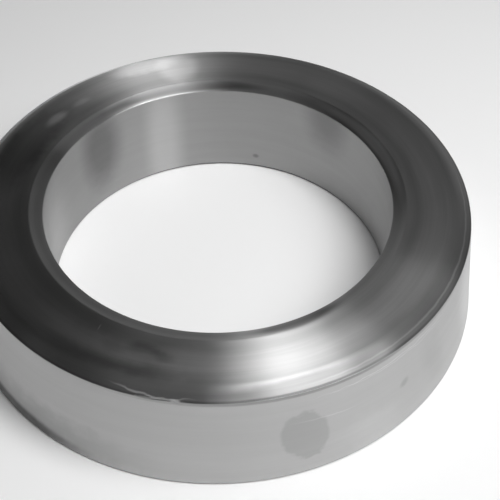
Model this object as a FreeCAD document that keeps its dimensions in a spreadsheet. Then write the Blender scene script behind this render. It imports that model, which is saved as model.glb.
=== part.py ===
import FreeCAD, Part
import os
import Sketcher

# Seamless rolled ring forging: one piece of steel, turned over its top face, shoulder and bore.
# The axis of the ring is Z, the base rests on z = 0 and the origin is the centre of the base.
# All lengths are millimetres and all angles degrees.

SIZES = [
    ("base_diameter", 260.0, "outside of the ring where it stands on its base"),
    ("draft_angle", 6.5, "lean of the outer wall inwards as it rises"),
    ("height", 55.5, "base to the flat top land"),
    ("bore_diameter", 172.0, "straight bore through the ring"),
    ("mouth_width", 6.6, "radial width of the shallow lead-in cone around the bore mouth"),
    ("mouth_drop", 2.3, "fall of the lead-in cone below the top land"),
    ("shoulder_width", 6.0, "radial width of the sloping shoulder outside the top land"),
    ("shoulder_drop", 3.4, "fall of the shoulder below the top land"),
    ("shoulder_round", 8.0, "radius that blends the top land into the shoulder"),
    ("mouth_round", 3.0, "radius that blends the top land into the lead-in cone"),
    ("rim_break", 1.0, "radius on the corner of the shoulder and the outer wall"),
    ("bore_break", 0.6, "radius on the corner of the lead-in cone and the bore"),
    ("foot_break", 1.2, "radius on the outer and inner corners of the base"),
]

# The corners of the half section, in order round it: each one's radius from the axis and level
# above the base, as formulas on the sheet's cells.
BORE = "Sizes.bore_diameter / 2"
BASE = "Sizes.base_diameter / 2"
TOP = "Sizes.height"
RIM_LEVEL = "Sizes.height - Sizes.shoulder_drop"
RIM = f"{BASE} - ({RIM_LEVEL}) * tan(Sizes.draft_angle * 1 deg)"
CORNERS = {
    "bore_foot": (BORE, "0"),
    "wall_foot": (BASE, "0"),
    "rim": (RIM, RIM_LEVEL),
    "land_outer": (f"{RIM} - Sizes.shoulder_width", TOP),
    "land_inner": (f"{BORE} + Sizes.mouth_width", TOP),
    "mouth": (BORE, f"{TOP} - Sizes.mouth_drop"),
}

# The corner sizes that the sketch states. The level lines and the upright bore wall give the rest.
STATED = {
    "bore_foot": ["radius"],
    "wall_foot": ["radius"],
    "rim": ["radius", "level"],
    "land_outer": ["radius", "level"],
    "land_inner": ["radius"],
    "mouth": ["level"],
}


def make_sheet(doc):
    """The driving dimensions, one named cell each, with a note beside it."""
    sheet = doc.addObject("Spreadsheet::Sheet", "Sizes")
    for row, (name, value, note) in enumerate(SIZES, start=1):
        sheet.set(f"A{row}", name)
        sheet.set(f"B{row}", str(value))
        sheet.set(f"C{row}", note)
        sheet.setAlias(f"B{row}", name)
    doc.recompute()
    return sheet


def corner_places(sheet):
    """Each corner of the half section as numbers: name to (radius, level)."""
    return {
        name: (float(sheet.evalExpression(radius)), float(sheet.evalExpression(level)))
        for name, (radius, level) in CORNERS.items()
    }


def own(body, role):
    """One of the body's own origin planes or axes, found by its role."""
    return next(feature for feature in body.Origin.OriginFeatures if feature.Role == role)


def section_sketch(body, places):
    """Half section of the ring in the XZ plane, once round from the inner corner of the base:
    base, leaning outer wall, shoulder, flat land, lead-in cone and bore wall."""
    sketch = body.newObject("Sketcher::SketchObject", "Section")
    sketch.AttachmentSupport = [(own(body, "XZ_Plane"), "")]
    sketch.MapMode = "FlatFace"

    points = [FreeCAD.Vector(radius, level, 0) for radius, level in places.values()]
    count = len(points)
    for i, start in enumerate(points):
        sketch.addGeometry(Part.LineSegment(start, points[(i + 1) % count]), False)
    for i in range(count):
        sketch.addConstraint(Sketcher.Constraint("Coincident", i, 2, (i + 1) % count, 1))
    base_line, _, _, land, _, bore_wall = range(count)
    sketch.addConstraint(Sketcher.Constraint("PointOnObject", base_line, 1, -1))
    sketch.addConstraint(Sketcher.Constraint("Horizontal", base_line))
    sketch.addConstraint(Sketcher.Constraint("Horizontal", land))
    sketch.addConstraint(Sketcher.Constraint("Vertical", bore_wall))

    for corner, name in enumerate(CORNERS):
        for size in STATED[name]:
            which, kind = (0, "DistanceX") if size == "radius" else (1, "DistanceY")
            value = places[name][which]
            index = sketch.addConstraint(Sketcher.Constraint(kind, -1, 1, corner, 1, value))
            sketch.renameConstraint(index, f"{name}_{size}")
            sketch.setExpression(f"Constraints.{name}_{size}", CORNERS[name][which])
    return sketch


def revolve(body, sketch):
    """The section turned once round the ring's axis."""
    ring = body.newObject("PartDesign::Revolution", "Ring")
    ring.Profile = sketch
    ring.ReferenceAxis = (own(body, "Z_Axis"), [""])
    ring.Angle = 360.0
    sketch.Visibility = False
    return ring


def corner_edges(feature, corners):
    """Names of the feature's circular edges that run through the given (radius, level) corners."""
    nearness = 0.01
    names = []
    for number, edge in enumerate(feature.Shape.Edges, start=1):
        curve = edge.Curve
        if not isinstance(curve, Part.Circle):
            continue
        for radius, level in corners:
            if abs(curve.Radius - radius) < nearness and abs(curve.Center.z - level) < nearness:
                names.append(f"Edge{number}")
    if len(names) != len(corners):
        raise RuntimeError(f"{feature.Name}: {len(names)} corners found of {len(corners)}")
    return names


def round_corners(doc, body, name, corners, cell):
    """Rounds the given corners of the body's last feature with the radius in the cell."""
    last = body.Tip
    rounding = body.newObject("PartDesign::Fillet", name)
    rounding.Base = (last, corner_edges(last, corners))
    rounding.setExpression("Radius", f"Sizes.{cell}")
    doc.recompute()


def rolled_ring(doc, sheet):
    """The whole forging: the revolved section, then each corner's own rounding."""
    body = doc.addObject("PartDesign::Body", "RolledRing")
    body.Label = "rolled_ring"
    body.Placement = FreeCAD.Placement()
    places = corner_places(sheet)
    revolve(body, section_sketch(body, places))
    doc.recompute()
    round_corners(doc, body, "ShoulderRound", [places["land_outer"]], "shoulder_round")
    round_corners(doc, body, "MouthRound", [places["land_inner"]], "mouth_round")
    round_corners(doc, body, "RimBreak", [places["rim"]], "rim_break")
    round_corners(doc, body, "BoreBreak", [places["mouth"]], "bore_break")
    feet = [places["wall_foot"], places["bore_foot"]]
    round_corners(doc, body, "FootBreak", feet, "foot_break")
    return body


def check(doc, bodies):
    """Stops before anything is written if a feature failed or a body is not one sound solid."""
    for item in doc.Objects:
        if "Invalid" in item.State or "Error" in item.State:
            raise RuntimeError(f"{item.Name} did not recompute: {item.State}")
    for body in bodies:
        shape = body.Shape
        if shape.isNull() or not shape.isValid() or len(shape.Solids) != 1:
            raise RuntimeError(f"{body.Label} is not one valid solid")


def main():
    doc = FreeCAD.newDocument("RolledRingForging")
    bodies = [rolled_ring(doc, make_sheet(doc))]
    doc.recompute()
    check(doc, bodies)
    os.makedirs("parts", exist_ok=True)
    for body in bodies:
        body.Shape.exportStep(f"parts/{body.Label}.step")
        print(f"{body.Label}: {body.Shape.Volume / 1000:.1f} cm3")


main()
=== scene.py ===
"""Seamless rolled ring forging: the turned steel ring, its finish and a plain studio.

Metres throughout. The ring's axis is Z and its base rests on z = 0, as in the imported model.
"""
import math

import bpy
import numpy as np
from mathutils import Matrix, Vector


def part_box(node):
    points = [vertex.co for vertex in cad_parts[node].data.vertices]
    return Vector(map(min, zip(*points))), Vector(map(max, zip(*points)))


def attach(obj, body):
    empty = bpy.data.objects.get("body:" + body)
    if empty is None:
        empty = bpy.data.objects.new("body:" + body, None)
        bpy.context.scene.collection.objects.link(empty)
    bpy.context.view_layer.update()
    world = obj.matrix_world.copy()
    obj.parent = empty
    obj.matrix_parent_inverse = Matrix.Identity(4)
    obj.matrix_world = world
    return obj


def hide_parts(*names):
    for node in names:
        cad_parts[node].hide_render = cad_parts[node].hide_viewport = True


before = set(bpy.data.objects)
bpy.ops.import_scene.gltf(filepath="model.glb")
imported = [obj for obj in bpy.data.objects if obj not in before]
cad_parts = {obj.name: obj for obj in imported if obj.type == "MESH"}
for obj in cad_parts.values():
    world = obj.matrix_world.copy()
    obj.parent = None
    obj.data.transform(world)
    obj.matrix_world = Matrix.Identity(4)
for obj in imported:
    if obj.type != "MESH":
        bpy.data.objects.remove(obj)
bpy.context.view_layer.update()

MM = 0.001

# ---------------------------------------------------------------- driving sizes

BASE_LEVEL, TOP_LEVEL = (float(corner[2]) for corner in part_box("rolled_ring"))
BASE_RADIUS = 130.0 * MM      # outside, at the sharp corner of the base
BORE_RADIUS = 86.0 * MM
DRAFT = math.radians(6.5)     # lean of the outer wall inwards as it rises
SHOULDER_WIDTH, SHOULDER_DROP = 6.0 * MM, 3.4 * MM
MOUTH_WIDTH, MOUTH_DROP = 6.6 * MM, 2.3 * MM

RIM_LEVEL = TOP_LEVEL - SHOULDER_DROP
RIM_RADIUS = BASE_RADIUS - (RIM_LEVEL - BASE_LEVEL) * math.tan(DRAFT)
LAND_OUTER = RIM_RADIUS - SHOULDER_WIDTH
LAND_INNER = BORE_RADIUS + MOUTH_WIDTH
MOUTH_LEVEL = TOP_LEVEL - MOUTH_DROP

# The half section's corners, once round it: radius, level, and the rounding on the corner.
SECTION_CORNERS = np.array([
    (BORE_RADIUS, BASE_LEVEL, 1.2 * MM),     # bore foot
    (BASE_RADIUS, BASE_LEVEL, 1.2 * MM),     # wall foot
    (RIM_RADIUS, RIM_LEVEL, 1.0 * MM),       # rim
    (LAND_OUTER, TOP_LEVEL, 8.0 * MM),       # land into the shoulder
    (LAND_INNER, TOP_LEVEL, 3.0 * MM),       # land into the lead-in cone
    (BORE_RADIUS, MOUTH_LEVEL, 0.6 * MM),    # bore mouth
])

STEPS_ROUND = 600             # facets round the ring
ARC_STEPS = 8                 # facets in each rounding
RUN_STEP = 1.35 * MM          # longest step along a straight side of the section
BASE_STEP = 12.0 * MM         # and along the flat base
EDGE_STEP = 0.25 * MM         # short step beside each rounding, which keeps the sides flat


# ---------------------------------------------------------------- the ring's shape

def corner_arc(before, corner, after, radius):
    """Rounding of one corner of the section. It starts and ends radius * tan(half the turn) from
    the corner, and its points lie at equal angles about a centre one radius off both sides."""
    back = (before - corner) / np.linalg.norm(before - corner)
    ahead = (after - corner) / np.linalg.norm(after - corner)
    turn = math.pi - math.acos(float(np.clip(back @ ahead, -1.0, 1.0)))
    reach = radius * math.tan(turn / 2)
    start = corner + back * reach
    side = np.array([-back[1], back[0]])
    side = side if side @ ahead > 0 else -side
    centre = start + side * radius
    spoke = start - centre
    angle = np.linspace(0.0, turn, ARC_STEPS + 1)
    way = 1.0 if (-back)[0] * side[1] - (-back)[1] * side[0] > 0 else -1.0
    cosine, sine = np.cos(angle), way * np.sin(angle)
    return centre + np.column_stack([
        spoke[0] * cosine - spoke[1] * sine,
        spoke[0] * sine + spoke[1] * cosine,
    ])


def straight_run(start, end, longest):
    """Points strictly between two roundings: one short step in from each end, and even steps of
    at most the longest allowed between those two."""
    length = np.linalg.norm(end - start)
    inner = length - 2 * EDGE_STEP
    steps = max(1, math.ceil(inner / longest))
    share = (EDGE_STEP + inner * np.arange(steps + 1) / steps) / length
    return start + share[:, None] * (end - start)


def ring_section():
    """The closed half section as (radius, level) rows: each corner's arc, then the straight run to
    the next corner, in order base, outer wall, shoulder, land, lead-in cone and bore."""
    places, roundings = SECTION_CORNERS[:, :2], SECTION_CORNERS[:, 2]
    arcs = [
        corner_arc(before, corner, after, radius)
        for before, corner, after, radius
        in zip(np.roll(places, 1, 0), places, np.roll(places, -1, 0), roundings)
    ]
    rows = []
    longest = [BASE_STEP] + [RUN_STEP] * (len(arcs) - 1)
    for arc, following, step in zip(arcs, arcs[1:] + arcs[:1], longest):
        rows += [arc, straight_run(arc[-1], following[0], step)]
    return np.vstack(rows)


SECTION = ring_section()
SECTION_STEPS = np.linalg.norm(np.roll(SECTION, -1, 0) - SECTION, axis=1)
SECTION_LENGTH = SECTION_STEPS.sum()
SECTION_WAY = np.concatenate([[0.0], np.cumsum(SECTION_STEPS)[:-1]])   # distance along the section


def section_normals():
    """Outward normals of the section's points, (radius, level): the chord between a point's two
    neighbours, turned a quarter to the right."""
    chord = np.roll(SECTION, -1, 0) - np.roll(SECTION, 1, 0)
    normal = np.column_stack([chord[:, 1], -chord[:, 0]])
    return normal / np.linalg.norm(normal, axis=1, keepdims=True)


def way_at(radius, level):
    """Distance along the section of its point nearest to a radius and level."""
    return float(SECTION_WAY[np.argmin(np.hypot(SECTION[:, 0] - radius, SECTION[:, 1] - level))])


# Dents and nicks pressed into the steel: azimuth in degrees from +X, radius and level of the
# middle, half length round the ring, half width along the section, and depth.
DENTS = (
    (-104.5, 123.6 * MM, 52.6 * MM, 7.5 * MM, 1.3 * MM, 0.35 * MM),   # chip in the rim
    (-99.5, 124.1 * MM, 51.8 * MM, 2.2 * MM, 1.1 * MM, 0.45 * MM),    # its deep end
    (-50.0, 126.8 * MM, 28.0 * MM, 2.4 * MM, 1.6 * MM, 0.12 * MM),    # knock on the outer wall
    (75.0, 86.0 * MM, 8.0 * MM, 1.4 * MM, 1.2 * MM, 0.25 * MM),       # pit low in the bore
)


def dented(azimuth, depth_way):
    """Depth of the dents at each place: for each dent a smooth bowl, depth * (1 - d^2)^2, where d
    is the distance from its middle as a share of its half sizes, and nothing beyond d = 1."""
    depth = np.zeros(np.broadcast(azimuth, depth_way).shape)
    for degrees, radius, level, half_length, half_width, deepest in DENTS:
        turn = (azimuth - math.radians(degrees) + math.pi) % (2 * math.pi) - math.pi
        along = turn * radius / half_length
        across = (depth_way - way_at(radius, level)) / half_width
        depth += deepest * np.clip(1 - along**2 - across**2, 0, None) ** 2
    return depth


def ring_mesh(name):
    """The section turned round Z. A point at azimuth a and section point (r, z) lies at
    (r cos a, r sin a, z), moved in against its normal by the depth of the dents there. The unwrap's
    U is the share of the turn and its V the share of the way along the section."""
    azimuth = 2 * math.pi * np.arange(STEPS_ROUND) / STEPS_ROUND
    depth = dented(azimuth[None, :], SECTION_WAY[:, None])
    normal = section_normals()
    radius = SECTION[:, 0, None] - depth * normal[:, 0, None]
    level = SECTION[:, 1, None] - depth * normal[:, 1, None]
    points = np.stack([radius * np.cos(azimuth), radius * np.sin(azimuth), level], axis=-1)

    rows, columns = np.meshgrid(np.arange(len(SECTION)), np.arange(STEPS_ROUND), indexing="ij")
    row_steps = np.stack([rows, rows, rows + 1, rows + 1], axis=-1)
    column_steps = np.stack([columns, columns + 1, columns + 1, columns], axis=-1)
    faces = (row_steps % len(SECTION)) * STEPS_ROUND + column_steps % STEPS_ROUND

    mesh = bpy.data.meshes.new(name)
    mesh.from_pydata(points.reshape(-1, 3), [], faces.reshape(-1, 4).tolist())
    ways = np.append(SECTION_WAY, SECTION_LENGTH) / SECTION_LENGTH
    unwrap = np.stack([column_steps / STEPS_ROUND, ways[row_steps]], axis=-1)
    mesh.uv_layers.new(name="unwrap").data.foreach_set("uv", unwrap.astype(np.float32).ravel())

    facing_up = np.abs(normal[:, 1] + np.roll(normal[:, 1], -1)) / 2 > 0.6
    facing_in = (normal[:, 0] + np.roll(normal[:, 0], -1)) / 2 < 0
    finish = np.where(facing_up, 0, np.where(facing_in, 2, 1)).astype(np.int32)   # face, wall, bore
    mesh.polygons.foreach_set("material_index", np.repeat(finish, STEPS_ROUND))
    mesh.polygons.foreach_set("use_smooth", np.ones(len(mesh.polygons), bool))
    mesh.update()
    return mesh


# ---------------------------------------------------------------- finishes

NOISE_LOW, NOISE_HIGH = 0.3, 0.7      # where nearly all of a noise pattern's values lie
WAVER_SCALE = 160.0                   # of the noise that bends a mark, per metre
MARKS_ROUGHNESS = 0.6                 # share of each finer layer in the tool marks
FINE_ROUND = 2.5                      # how quickly the fine tool marks change round the ring
BAND_ROUND, BAND_ACROSS, BAND_DETAIL = 1.6, 170.0, 2.0    # the broad bands of cut
BAND_ROUGHNESS = 0.01                 # how much a band changes the roughness, either way
MARK_DEPTH, MARK_STRENGTH = 0.01 * MM, 0.5
ACROSS_THE_MARKS = 0.25               # turns the stretch of a highlight across the tool marks
SHOULDER_LIFT = 0.9                   # how far the shading leans back to upright there
LIFT_START, LIFT_END = LAND_OUTER - 3.0 * MM, LAND_OUTER + 2.0 * MM
DARKEST_CUT = 0.22                    # least share of the clean steel's tone

def new_group(name, inputs, outputs):
    """An empty shader group with its sockets: (name, kind, default) for inputs, (name, kind) for
    outputs. Returns the group, its nodes' maker and its input and output nodes."""
    group = bpy.data.node_groups.new(name, "ShaderNodeTree")
    for label, kind, default in inputs:
        socket = group.interface.new_socket(label, in_out="INPUT", socket_type=kind)
        if default is not None:
            socket.default_value = default
    for label, kind in outputs:
        group.interface.new_socket(label, in_out="OUTPUT", socket_type=kind)
    return group, group.nodes.new("NodeGroupInput"), group.nodes.new("NodeGroupOutput")


def maths(tree, operation, first, second=None, third=None):
    """A Math node. Each argument is a socket to link or a plain number."""
    node = tree.nodes.new("ShaderNodeMath")
    node.operation = operation
    for socket, value in zip(node.inputs, (first, second, third)):
        if isinstance(value, bpy.types.NodeSocket):
            tree.links.new(value, socket)
        elif value is not None:
            socket.default_value = value
    return node.outputs[0]


def between(tree, value, low, high, to_low, to_high):
    """A Map Range node: value from low..high to to_low..to_high, eased at both ends."""
    node = tree.nodes.new("ShaderNodeMapRange")
    node.interpolation_type = "SMOOTHSTEP"
    for label, given in (("Value", value), ("From Min", low), ("From Max", high),
                         ("To Min", to_low), ("To Max", to_high)):
        if isinstance(given, bpy.types.NodeSocket):
            tree.links.new(given, node.inputs[label])
        else:
            node.inputs[label].default_value = given
    return node.outputs["Result"]


def combine(tree, x, y, z):
    """A Combine XYZ node of three sockets or numbers."""
    node = tree.nodes.new("ShaderNodeCombineXYZ")
    for socket, value in zip(node.inputs, (x, y, z)):
        if isinstance(value, bpy.types.NodeSocket):
            tree.links.new(value, socket)
        else:
            socket.default_value = value
    return node.outputs[0]


def noise(tree, vector, scale):
    """A Noise Texture's value on a vector. It wanders about 0.5."""
    node = tree.nodes.new("ShaderNodeTexNoise")
    tree.links.new(vector, node.inputs["Vector"])
    node.inputs["Scale"].default_value = scale
    return node.outputs[0]


def tool_mark_group():
    """Marks that turning leaves: streaks that run round the ring and change across it. The
    pattern's place is (cos a * Round, sin a * Round, (r - z) * Across), so it has no seam."""
    group, given, result = new_group(
        "tool_marks",
        [("Place", "NodeSocketVector", None), ("Round", "NodeSocketFloat", 3.0),
         ("Across", "NodeSocketFloat", 1500.0), ("Detail", "NodeSocketFloat", 3.0)],
        [("Marks", "NodeSocketFloat")],
    )
    split = group.nodes.new("ShaderNodeSeparateXYZ")
    group.links.new(given.outputs["Place"], split.inputs[0])
    x, y, z = split.outputs
    radius = maths(group, "SQRT", maths(group, "ADD", maths(group, "MULTIPLY", x, x),
                                        maths(group, "MULTIPLY", y, y)))
    around = maths(group, "DIVIDE", given.outputs["Round"], radius)
    way = maths(group, "MULTIPLY", maths(group, "SUBTRACT", radius, z), given.outputs["Across"])
    vector = combine(group, maths(group, "MULTIPLY", x, around),
                     maths(group, "MULTIPLY", y, around), way)
    texture = group.nodes.new("ShaderNodeTexNoise")
    texture.inputs["Scale"].default_value = 1.0
    texture.inputs["Roughness"].default_value = MARKS_ROUGHNESS
    group.links.new(vector, texture.inputs["Vector"])
    group.links.new(given.outputs["Detail"], texture.inputs["Detail"])
    group.links.new(texture.outputs[0], result.inputs["Marks"])
    return group


def soft_spot_group():
    """One mark laid on the surface: an oval with a soft, uneven border. With a and b the distances
    round the ring and along the section from its middle, turned by Lean, and d the square root of
    (a / Half Length)^2 + (b / Half Width)^2, the mark is full where d is under 1 - Softness and
    gone above 1 + Softness. Waver bends it with a slow noise."""
    group, given, result = new_group(
        "soft_spot",
        [("Unwrap", "NodeSocketVector", None), ("Turn", "NodeSocketFloat", 0.0),
         ("Round", "NodeSocketFloat", 0.7), ("Way", "NodeSocketFloat", 0.0),
         ("Half Length", "NodeSocketFloat", 0.01), ("Half Width", "NodeSocketFloat", 0.01),
         ("Lean", "NodeSocketFloat", 0.0), ("Softness", "NodeSocketFloat", 0.5),
         ("Waver", "NodeSocketFloat", 0.0)],
        [("Mask", "NodeSocketFloat")],
    )
    split = group.nodes.new("ShaderNodeSeparateXYZ")
    group.links.new(given.outputs["Unwrap"], split.inputs[0])
    turn, way = split.outputs[0], split.outputs[1]
    past = maths(group, "SUBTRACT", turn, given.outputs["Turn"])
    short_turn = maths(group, "WRAP", past, 0.5, -0.5)
    along = maths(group, "MULTIPLY", short_turn, given.outputs["Round"])
    across = maths(group, "SUBTRACT", maths(group, "MULTIPLY", way, SECTION_LENGTH),
                   given.outputs["Way"])
    slow = noise(group, combine(group, along, across, given.outputs["Way"]), WAVER_SCALE)
    swing = maths(group, "MULTIPLY", maths(group, "SUBTRACT", slow, 0.5), given.outputs["Waver"])
    across = maths(group, "ADD", across, swing)
    cosine = maths(group, "COSINE", given.outputs["Lean"])
    sine = maths(group, "SINE", given.outputs["Lean"])
    a = maths(group, "ADD", maths(group, "MULTIPLY", along, cosine),
              maths(group, "MULTIPLY", across, sine))
    b = maths(group, "SUBTRACT", maths(group, "MULTIPLY", across, cosine),
              maths(group, "MULTIPLY", along, sine))
    a = maths(group, "DIVIDE", a, given.outputs["Half Length"])
    b = maths(group, "DIVIDE", b, given.outputs["Half Width"])
    distance = maths(group, "SQRT", maths(group, "ADD", maths(group, "MULTIPLY", a, a),
                                          maths(group, "MULTIPLY", b, b)))
    mask = between(group, distance, maths(group, "SUBTRACT", 1.0, given.outputs["Softness"]),
                   maths(group, "ADD", 1.0, given.outputs["Softness"]), 1.0, 0.0)
    group.links.new(mask, result.inputs["Mask"])
    return group


def place_group(tree, group, **values):
    """A group node in a material or group, with its inputs linked or set by name (spaces as _)."""
    node = tree.nodes.new("ShaderNodeGroup")
    node.node_tree = group
    for label, value in values.items():
        socket = node.inputs[label.replace("_", " ")]
        if isinstance(value, bpy.types.NodeSocket):
            tree.links.new(value, socket)
        else:
            socket.default_value = value
    return node


# Marks on the steel, and stretches of painted highlight and painted shade: azimuth in degrees,
# radius and level of the middle, half length round the ring, half width along the section, lean
# in degrees, softness, waver, and what each does: its change of tone (as a share) and of roughness.
FACE_MARKS_AND_PAINTED_LIGHT = (
    # lighter patches that brighten the two highlights on the land: painted highlight
    (110.0, 114.0 * MM, TOP_LEVEL, 17.0 * MM, 6.0 * MM, 0.0, 0.5, 3.0 * MM, 1.00, -0.03),
    (101.0, 108.0 * MM, TOP_LEVEL, 11.0 * MM, 13.0 * MM, 0.0, 0.35, 3.0 * MM, 0.42, 0.0),
    (-99.0, 106.0 * MM, TOP_LEVEL, 10.0 * MM, 10.0 * MM, 0.0, 0.7, 3.0 * MM, 0.38, 0.0),
    (-34.0, 108.0 * MM, TOP_LEVEL, 46.0 * MM, 10.0 * MM, 0.0, 0.5, 3.0 * MM, 0.20, 0.0),
    # darker stretch of the shoulder that dims its highlight: painted shade
    (-74.0, 121.0 * MM, 53.8 * MM, 36.0 * MM, 4.0 * MM, 0.0, 0.4, 1.0 * MM, -0.42, 0.05),
    # dark line at the rim: painted shade
    (-70.0, 123.7 * MM, 52.3 * MM, 80.0 * MM, 0.8 * MM, 0.0, 0.5, 0.5 * MM, -0.16, 0.0),
    # lighter line along the rim: painted highlight
    (146.0, 122.3 * MM, 53.2 * MM, 62.0 * MM, 1.8 * MM, 0.0, 0.6, 0.8 * MM, 1.50, 0.05),
    # darker stretches of the shoulder: painted shade
    (-35.0, 119.5 * MM, 54.6 * MM, 20.0 * MM, 3.6 * MM, 0.0, 0.7, 1.0 * MM, -0.28, 0.0),
    (64.0, 121.5 * MM, 53.5 * MM, 30.0 * MM, 3.6 * MM, 0.0, 0.7, 1.0 * MM, -0.38, 0.0),
    # bright stretch of the cone: painted highlight
    (24.0, 90.0 * MM, 54.5 * MM, 34.0 * MM, 2.8 * MM, 0.0, 0.5, 0.0, 0.80, 0.05),
    # darker stretches of the cone that dim its highlights: painted shade
    (103.0, 90.0 * MM, 54.5 * MM, 42.0 * MM, 3.6 * MM, 0.0, 0.3, 0.0, -0.45, 0.05),
    (-68.0, 89.0 * MM, 54.2 * MM, 20.0 * MM, 4.2 * MM, 0.0, 0.4, 0.0, -0.58, 0.05),
    # chip's bright scrapes
    (-103.5, 123.2 * MM, 52.9 * MM, 12.0 * MM, 0.40 * MM, 4.0, 0.7, 2.2 * MM, 1.3, 0.14),
    (-107.5, 122.2 * MM, 53.2 * MM, 9.0 * MM, 0.38 * MM, -7.0, 0.7, 2.0 * MM, 1.3, 0.14),
    (-101.0, 123.4 * MM, 52.6 * MM, 8.0 * MM, 0.35 * MM, -3.0, 0.7, 2.0 * MM, 1.0, 0.14),
    (-99.5, 123.6 * MM, 52.4 * MM, 1.8 * MM, 0.8 * MM, 0.0, 0.6, 1.0 * MM, 1.2, 0.14),
    # bright line inside the rim: painted highlight
    (-28.0, 121.2 * MM, 53.7 * MM, 58.0 * MM, 0.45 * MM, 0.3, 0.8, 1.0 * MM, 0.55, 0.05),
    # oily thumb marks
    (-110.0, 101.5 * MM, TOP_LEVEL, 5.5 * MM, 3.0 * MM, 10.0, 0.7, 5.0 * MM, -0.28, -0.03),
    (-104.5, 104.0 * MM, TOP_LEVEL, 5.0 * MM, 2.2 * MM, -12.0, 0.7, 5.0 * MM, -0.36, -0.03),
    (-116.5, 105.0 * MM, TOP_LEVEL, 5.0 * MM, 2.6 * MM, 0.0, 0.7, 4.0 * MM, -0.20, -0.03),
    # dark sweep near the shoulder
    (-112.0, 112.5 * MM, TOP_LEVEL, 32.0 * MM, 3.0 * MM, 2.0, 0.8, 4.0 * MM, -0.30, 0.0),
    # and a lighter one inside it
    (-122.0, 106.0 * MM, TOP_LEVEL, 26.0 * MM, 4.0 * MM, 0.0, 0.8, 4.0 * MM, 0.30, 0.0),
    # dry rubs
    (143.5, 105.5 * MM, TOP_LEVEL, 6.5 * MM, 2.6 * MM, 0.0, 0.6, 3.0 * MM, 0.5, 0.1),
    (133.5, 105.8 * MM, TOP_LEVEL, 5.0 * MM, 1.8 * MM, 0.0, 0.6, 2.0 * MM, 0.25, 0.05),
    # darker stretch
    (156.0, 106.0 * MM, TOP_LEVEL, 34.0 * MM, 10.0 * MM, 0.0, 0.4, 6.0 * MM, -0.40, 0.0),
    # short scratch
    (-123.0, 99.0 * MM, TOP_LEVEL, 0.30 * MM, 1.6 * MM, 10.0, 0.5, 0.5 * MM, 0.5, 0.1),
)
WALL_MARKS_AND_PAINTED_LIGHT = (
    # dark line at the rim: painted shade
    (-70.0, 124.3 * MM, 50.9 * MM, 80.0 * MM, 0.9 * MM, 0.0, 0.5, 0.5 * MM, -0.30, 0.0),
    # greasy patch
    (-74.0, 127.0 * MM, 25.0 * MM, 11.0 * MM, 15.0 * MM, 14.0, 0.10, 11.0 * MM, -0.17, 0.0),
    # scratch over it
    (-69.0, 126.0 * MM, 33.0 * MM, 12.0 * MM, 0.40 * MM, -4.0, 0.7, 1.0 * MM, 0.16, 0.05),
    # two long scratches
    (-53.0, 124.6 * MM, 47.5 * MM, 33.0 * MM, 0.28 * MM, 0.8, 0.8, 3.5 * MM, 0.24, 0.04),
    (-51.0, 124.9 * MM, 45.6 * MM, 26.0 * MM, 0.24 * MM, -0.6, 0.8, 3.0 * MM, 0.20, 0.04),
    # round the knock
    (-50.0, 126.8 * MM, 28.0 * MM, 2.6 * MM, 2.0 * MM, 40.0, 0.6, 1.0 * MM, -0.18, 0.0),
    # cloudy patches
    (-40.0, 127.0 * MM, 26.0 * MM, 7.0 * MM, 16.0 * MM, 20.0, 0.7, 12.0 * MM, -0.08, 0.0),
    (-58.0, 127.0 * MM, 12.0 * MM, 14.0 * MM, 9.0 * MM, -20.0, 0.8, 12.0 * MM, 0.08, 0.0),
    (-20.0, 127.0 * MM, 30.0 * MM, 12.0 * MM, 26.0 * MM, 10.0, 0.7, 10.0 * MM, 0.22, 0.0),
    # low darker patch on the left: painted shade
    (-128.0, 127.0 * MM, 10.0 * MM, 34.0 * MM, 8.0 * MM, 0.0, 0.8, 12.0 * MM, -0.20, 0.0),
    # dark band at the foot: painted shadow where the wall meets the floor
    (-142.0, 129.6 * MM, 2.5 * MM, 44.0 * MM, 4.5 * MM, 0.0, 0.5, 1.5 * MM, -0.60, 0.0),
)
BORE_MARKS_AND_PAINTED_LIGHT = (
    # light stripe, a painted highlight, and darker and lighter patches beside it, painted shade and
    # a painted reflection of the floor
    (110.0, 86.0 * MM, 22.0 * MM, 9.0 * MM, 46.0 * MM, 0.0, 0.7, 6.0 * MM, 0.36, 0.0),
    (137.0, 86.0 * MM, 36.0 * MM, 12.0 * MM, 22.0 * MM, 0.0, 0.6, 8.0 * MM, -0.40, 0.0),
    (170.0, 86.0 * MM, 16.0 * MM, 14.0 * MM, 22.0 * MM, 0.0, 0.8, 8.0 * MM, 0.25, 0.0),
    (46.0, 86.0 * MM, 50.0 * MM, 12.0 * MM, 18.0 * MM, 0.0, 0.7, 6.0 * MM, -0.32, 0.0),
    # pit
    (75.0, 86.0 * MM, 8.0 * MM, 1.6 * MM, 1.2 * MM, 0.0, 0.6, 0.5 * MM, -0.35, 0.0),
    # dark bands at the foot: painted shadow where the bore meets the floor
    (22.0, 86.0 * MM, 0.0, 60.0 * MM, 11.0 * MM, 0.0, 0.6, 2.0 * MM, -0.85, 0.0),
    (75.0, 86.0 * MM, 0.0, 60.0 * MM, 3.0 * MM, 0.0, 0.6, 1.0 * MM, -0.60, 0.0),
)


# How much of the light the clean steel sends back on each side of the ring.
FACE_STEEL, WALL_STEEL, BORE_STEEL = 0.43, 0.50, 0.38


def mark_sum(tree, unwrap, marks):
    """The marks' summed change of tone and of roughness, as two sockets: each mark's mask times
    its change, added up."""
    tone = rough = 0.0
    for degrees, radius, level, length, width, lean, softness, waver, tone_by, rough_by in marks:
        mask = place_group(
            tree, SOFT_SPOT, Unwrap=unwrap, Turn=degrees / 360.0 % 1.0,
            Round=2 * math.pi * radius, Way=way_at(radius, level), Half_Length=length,
            Half_Width=width, Lean=math.radians(lean), Softness=softness, Waver=waver,
        ).outputs[0]
        tone = maths(tree, "MULTIPLY_ADD", mask, tone_by, tone)
        rough = maths(tree, "MULTIPLY_ADD", mask, rough_by, rough)
    return tone, rough


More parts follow.
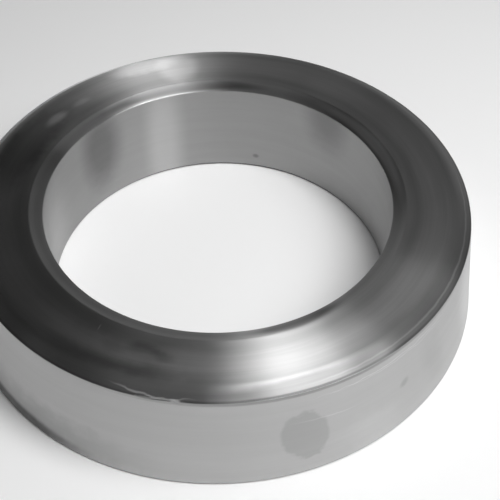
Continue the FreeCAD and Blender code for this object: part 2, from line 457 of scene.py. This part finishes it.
def ring_radius(tree, place):
    """Distance from the ring's axis."""
    flat = tree.nodes.new("ShaderNodeVectorMath")
    flat.operation = "MULTIPLY"
    tree.links.new(place, flat.inputs[0])
    flat.inputs[1].default_value = (1.0, 1.0, 0.0)
    length = tree.nodes.new("ShaderNodeVectorMath")
    length.operation = "LENGTH"
    tree.links.new(flat.outputs[0], length.inputs[0])
    return length.outputs["Value"]


def hump(tree, value, middle, half, height):
    """A smooth hump of the given height: full at middle and gone half away on both sides."""
    off = maths(tree, "ABSOLUTE", maths(tree, "SUBTRACT", value, middle))
    return between(tree, off, 0.0, half, height, 0.0)


# Rings of lighter and darker cut over the top, and painted shade at the rim and on the cone: radius
# of the middle, half width and change of tone.
FACE_RINGS_AND_PAINTED_SHADE = (
    (107.0 * MM, 8.0 * MM, 0.10),
    (97.0 * MM, 4.5 * MM, -0.12),
    (115.8 * MM, 4.0 * MM, -0.08),
    (121.5 * MM, 5.0 * MM, -0.10),
    # dark line at the rim: painted shade
    (123.5 * MM, 1.0 * MM, -0.22),
    # darker ring on the cone: painted shade
    (88.6 * MM, 4.5 * MM, -0.20),
)


def shoulder_normal(tree, radius):
    """The surface normal with its lean about halved over the shoulder, so that its highlight runs
    on from the land's: normal + lift * (0, 0, 1), made one long, with lift rising from 0 on the
    land to its full value on the shoulder."""
    geometry = tree.nodes.new("ShaderNodeNewGeometry")
    lift = between(tree, radius, LIFT_START, LIFT_END, 0.0, SHOULDER_LIFT)
    raised = tree.nodes.new("ShaderNodeVectorMath")
    raised.operation = "ADD"
    tree.links.new(geometry.outputs["Normal"], raised.inputs[0])
    tree.links.new(combine(tree, 0.0, 0.0, lift), raised.inputs[1])
    unit = tree.nodes.new("ShaderNodeVectorMath")
    unit.operation = "NORMALIZE"
    tree.links.new(raised.outputs[0], unit.inputs[0])
    return unit.outputs[0]


def steel_material(name, steel, roughness, anisotropy, across, streaks, marks, rings_and_shade):
    """Turned steel: circular tool marks that stretch a highlight across themselves, bands and
    rings of lighter and darker cut, the marks, and the painted highlights and shade among marks and
    rings. Its tone is the steel's times the streaks times one plus the sum of marks and rings."""
    material = bpy.data.materials.new(name)
    material.use_nodes = True
    tree = material.node_tree
    shader = tree.nodes["Principled BSDF"]
    coordinates = tree.nodes.new("ShaderNodeTexCoord")
    place = coordinates.outputs["Object"]

    fine = place_group(
        tree, TOOL_MARKS, Place=place, Round=FINE_ROUND, Across=across).outputs[0]
    bands = place_group(
        tree, TOOL_MARKS, Place=place, Round=BAND_ROUND, Across=BAND_ACROSS,
        Detail=BAND_DETAIL).outputs[0]
    marks_and_painted_light, mark_rough = mark_sum(tree, coordinates.outputs["UV"], marks)
    radius = ring_radius(tree, place)
    # tone of the cut and the marks, with their painted highlights and painted shade
    cut_and_painted_light = maths(tree, "ADD", marks_and_painted_light, 1.0)
    for middle, half, change in rings_and_shade:
        cut_and_painted_light = maths(tree, "ADD", cut_and_painted_light, hump(tree, radius, middle, half, change))
    cut_and_painted_light = maths(tree, "MAXIMUM", cut_and_painted_light, DARKEST_CUT)
    broad = between(tree, bands, NOISE_LOW, NOISE_HIGH, 1 - streaks, 1 + streaks)
    thin = between(tree, fine, NOISE_LOW, NOISE_HIGH, 1 - streaks / 2, 1 + streaks / 2)
    tone = maths(tree, "MULTIPLY", maths(tree, "MULTIPLY", broad, thin), cut_and_painted_light)
    colour = combine(tree, *[maths(tree, "MULTIPLY", tone, steel)] * 3)
    tree.links.new(colour, shader.inputs["Base Color"])

    rough = between(tree, bands, NOISE_LOW, NOISE_HIGH,
                    roughness + BAND_ROUGHNESS, roughness - BAND_ROUGHNESS)
    tree.links.new(maths(tree, "ADD", rough, mark_rough), shader.inputs["Roughness"])

    bump = tree.nodes.new("ShaderNodeBump")
    bump.inputs["Distance"].default_value = MARK_DEPTH
    bump.inputs["Strength"].default_value = MARK_STRENGTH
    tree.links.new(fine, bump.inputs["Height"])
    if rings_and_shade:
        tree.links.new(shoulder_normal(tree, radius), bump.inputs["Normal"])
    tree.links.new(bump.outputs["Normal"], shader.inputs["Normal"])

    tangent = tree.nodes.new("ShaderNodeTangent")
    tangent.direction_type = "RADIAL"
    tangent.axis = "Z"
    tree.links.new(tangent.outputs["Tangent"], shader.inputs["Tangent"])
    shader.inputs["Metallic"].default_value = 1.0
    shader.inputs["Anisotropic"].default_value = anisotropy
    shader.inputs["Anisotropic Rotation"].default_value = ACROSS_THE_MARKS
    return material


# The three finishes, in the order of the mesh's material numbers: the clean steel's tone, its
# roughness, how far a highlight stretches, fine marks per metre across, streaks, marks with painted
# highlights and shade, and rings with painted shade.
FINISHES = {
    "turned_face": (FACE_STEEL, 0.32, 1.0, 1500.0, 0.05, FACE_MARKS_AND_PAINTED_LIGHT, FACE_RINGS_AND_PAINTED_SHADE),
    "turned_wall": (WALL_STEEL, 0.45, 0.7, 900.0, 0.012, WALL_MARKS_AND_PAINTED_LIGHT, ()),
    "turned_bore": (BORE_STEEL, 0.42, 0.8, 900.0, 0.012, BORE_MARKS_AND_PAINTED_LIGHT, ()),
}


# ---------------------------------------------------------------- studio

FLOOR_WIDTH = 6.0
FLOOR_COLOUR = (0.93, 0.93, 0.93, 1.0)
FLOOR_ROUGHNESS = 0.9
WHITE = (1.0, 1.0, 1.0, 1.0)
ROOM_LIGHT = 0.004
BACKGROUND = 0.80                     # how pale the far floor and the low backdrop look
LIT_FLOOR, FAR_FLOOR = 0.45, 1.30     # radii between which the floor turns into background
BACKDROP_RISE = (0.10, 0.30)          # sines of the elevations between which the backdrop fades


def seen_ray(tree):
    """1 for the rays that show the background, straight or in metal and glass, and 0 for others."""
    path = tree.nodes.new("ShaderNodeLightPath").outputs
    metal_or_glass = maths(tree, "MAXIMUM", path["Is Glossy Ray"], path["Is Transmission Ray"])
    return maths(tree, "MAXIMUM", path["Is Camera Ray"], metal_or_glass)


def floor():
    """A plain pale floor under the ring, which turns into an even pale background far out."""
    mesh = bpy.data.meshes.new("floor")
    half = FLOOR_WIDTH / 2
    corners = [(-half, -half, 0), (half, -half, 0), (half, half, 0), (-half, half, 0)]
    mesh.from_pydata(corners, [], [(0, 1, 2, 3)])
    piece = bpy.data.objects.new("floor", mesh)
    bpy.context.collection.objects.link(piece)
    material = bpy.data.materials.new("pale_floor")
    material.use_nodes = True
    tree = material.node_tree
    shader = tree.nodes["Principled BSDF"]
    shader.inputs["Base Color"].default_value = FLOOR_COLOUR
    shader.inputs["Roughness"].default_value = FLOOR_ROUGHNESS
    place = tree.nodes.new("ShaderNodeTexCoord").outputs["Object"]
    far = between(tree, ring_radius(tree, place), LIT_FLOOR, FAR_FLOOR, 0.0, BACKGROUND)
    glow = maths(tree, "MULTIPLY", far, seen_ray(tree))
    shader.inputs["Emission Strength"].default_value = 1.0
    tree.links.new(combine(tree, glow, glow, glow), shader.inputs["Emission Color"])
    mesh.materials.append(material)


# Four plain levels of light: the key strips, one side strip, the fill and the dim surroundings.
KEY_LIGHT, SIDE_LIGHT, FILL_LIGHT, DIM_LIGHT = 9.5, 1.5, 0.4, 0.2

# Soft lamps round the ring: the directions of the two ends of each one's middle line (azimuth
# from +X and elevation, degrees), their distance, the lamp's width, and its brightness, where 1
# is white.
LAMPS = {
    "key": ((-50.0, 50.0), (-30.0, 70.0), 1.0, 0.35, KEY_LIGHT),
    "key_top": ((-30.0, 70.0), (0.0, 85.0), 1.0, 0.35, KEY_LIGHT),
    "key_wide": ((-30.0, 40.0), (-20.0, 60.0), 1.0, 0.30, KEY_LIGHT / 2),
    "side": ((35.0, 45.0), (25.0, 70.0), 1.0, 0.20, SIDE_LIGHT),
    "ceiling": ((-70.0, 70.0), (60.0, 75.0), 1.1, 0.35, FILL_LIGHT),
    "ceiling_back": ((60.0, 75.0), (150.0, 70.0), 1.1, 0.40, FILL_LIGHT),
    "front_left": ((240.0, 15.0), (240.0, 50.0), 1.2, 0.60, FILL_LIGHT),
    "front_low": ((-90.0, 5.0), (-90.0, 20.0), 1.4, 1.20, FILL_LIGHT),
    "left_low": ((180.0, 5.0), (180.0, 20.0), 1.4, 1.20, FILL_LIGHT),
    "back_right": ((60.0, 15.0), (60.0, 50.0), 1.2, 0.70, DIM_LIGHT),
    "back": ((95.0, 15.0), (95.0, 40.0), 1.2, 0.60, DIM_LIGHT),
    "left": ((205.0, 15.0), (200.0, 50.0), 1.2, 0.60, DIM_LIGHT),
}


def direction(azimuth, elevation):
    """Unit vector at an azimuth from +X and an elevation, in degrees."""
    turn, rise = math.radians(azimuth), math.radians(elevation)
    level = math.cos(rise)
    return Vector((level * math.cos(turn), level * math.sin(turn), math.sin(rise)))


def soft_lamp(name, foot, head, distance, width, brightness):
    """A rectangular soft lamp that faces the ring. Its watts are pi * area * brightness."""
    foot, head = direction(*foot) * distance, direction(*head) * distance
    light = bpy.data.lights.new(name, "AREA")
    light.shape = "RECTANGLE"
    light.size, light.size_y = width, (head - foot).length
    light.energy = math.pi * light.size * light.size_y * brightness
    middle = (foot + head) / 2
    upward = (head - foot).normalized()
    away = (middle - upward * middle.dot(upward)).normalized()
    lamp = bpy.data.objects.new(name, light)
    lamp.matrix_world = Matrix.Translation(middle) @ Matrix(
        (upward.cross(away), upward, away)).transposed().to_4x4()
    bpy.context.collection.objects.link(lamp)


def room():
    """Dim, even light from all round, and a low pale backdrop that fades upwards."""
    world = bpy.data.worlds.new("room")
    world.use_nodes = True
    tree = world.node_tree
    split = tree.nodes.new("ShaderNodeSeparateXYZ")
    tree.links.new(tree.nodes.new("ShaderNodeTexCoord").outputs["Generated"], split.inputs[0])
    backdrop = between(tree, split.outputs[2], *BACKDROP_RISE, BACKGROUND, ROOM_LIGHT)
    seen = maths(tree, "MULTIPLY", maths(tree, "SUBTRACT", backdrop, ROOM_LIGHT), seen_ray(tree))
    background = tree.nodes["Background"]
    background.inputs["Color"].default_value = WHITE
    tree.links.new(maths(tree, "ADD", seen, ROOM_LIGHT), background.inputs["Strength"])
    bpy.context.scene.world = world


CAMERA_AIM = Vector((0.0163, 0.0154, 0.0))
CAMERA_DISTANCE = 0.5899
CAMERA_ELEVATION = math.radians(45.874)
CAMERA_AZIMUTH = math.radians(2.275)      # from looking along +Y, turned towards +X
CAMERA_LENS, SENSOR_WIDTH = 78.77, 36.0   # millimetres
CAMERA_NEAR = 0.01


def camera():
    """A camera that looks down on the ring from the front."""
    forward = Vector((
        math.sin(CAMERA_AZIMUTH) * math.cos(CAMERA_ELEVATION),
        math.cos(CAMERA_AZIMUTH) * math.cos(CAMERA_ELEVATION),
        -math.sin(CAMERA_ELEVATION),
    ))
    data = bpy.data.cameras.new("camera")
    data.lens = CAMERA_LENS
    data.sensor_width = SENSOR_WIDTH
    data.clip_start = CAMERA_NEAR
    view = bpy.data.objects.new("camera", data)
    view.location = CAMERA_AIM - forward * CAMERA_DISTANCE
    view.rotation_mode = "QUATERNION"
    view.rotation_quaternion = forward.to_track_quat("-Z", "Y")
    bpy.context.collection.objects.link(view)
    bpy.context.scene.camera = view


# ---------------------------------------------------------------- making

camera()
TOOL_MARKS = tool_mark_group()
SOFT_SPOT = soft_spot_group()

ring = bpy.data.objects.new("turned_ring", ring_mesh("turned_ring"))
bpy.context.collection.objects.link(ring)
for finish_name, finish_values in FINISHES.items():
    ring.data.materials.append(steel_material(finish_name, *finish_values))
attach(ring, "root")
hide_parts("rolled_ring")

floor()
room()
for lamp_name, lamp_sizes in LAMPS.items():
    soft_lamp(lamp_name, *lamp_sizes)

bpy.context.scene.view_settings.view_transform = "Standard"
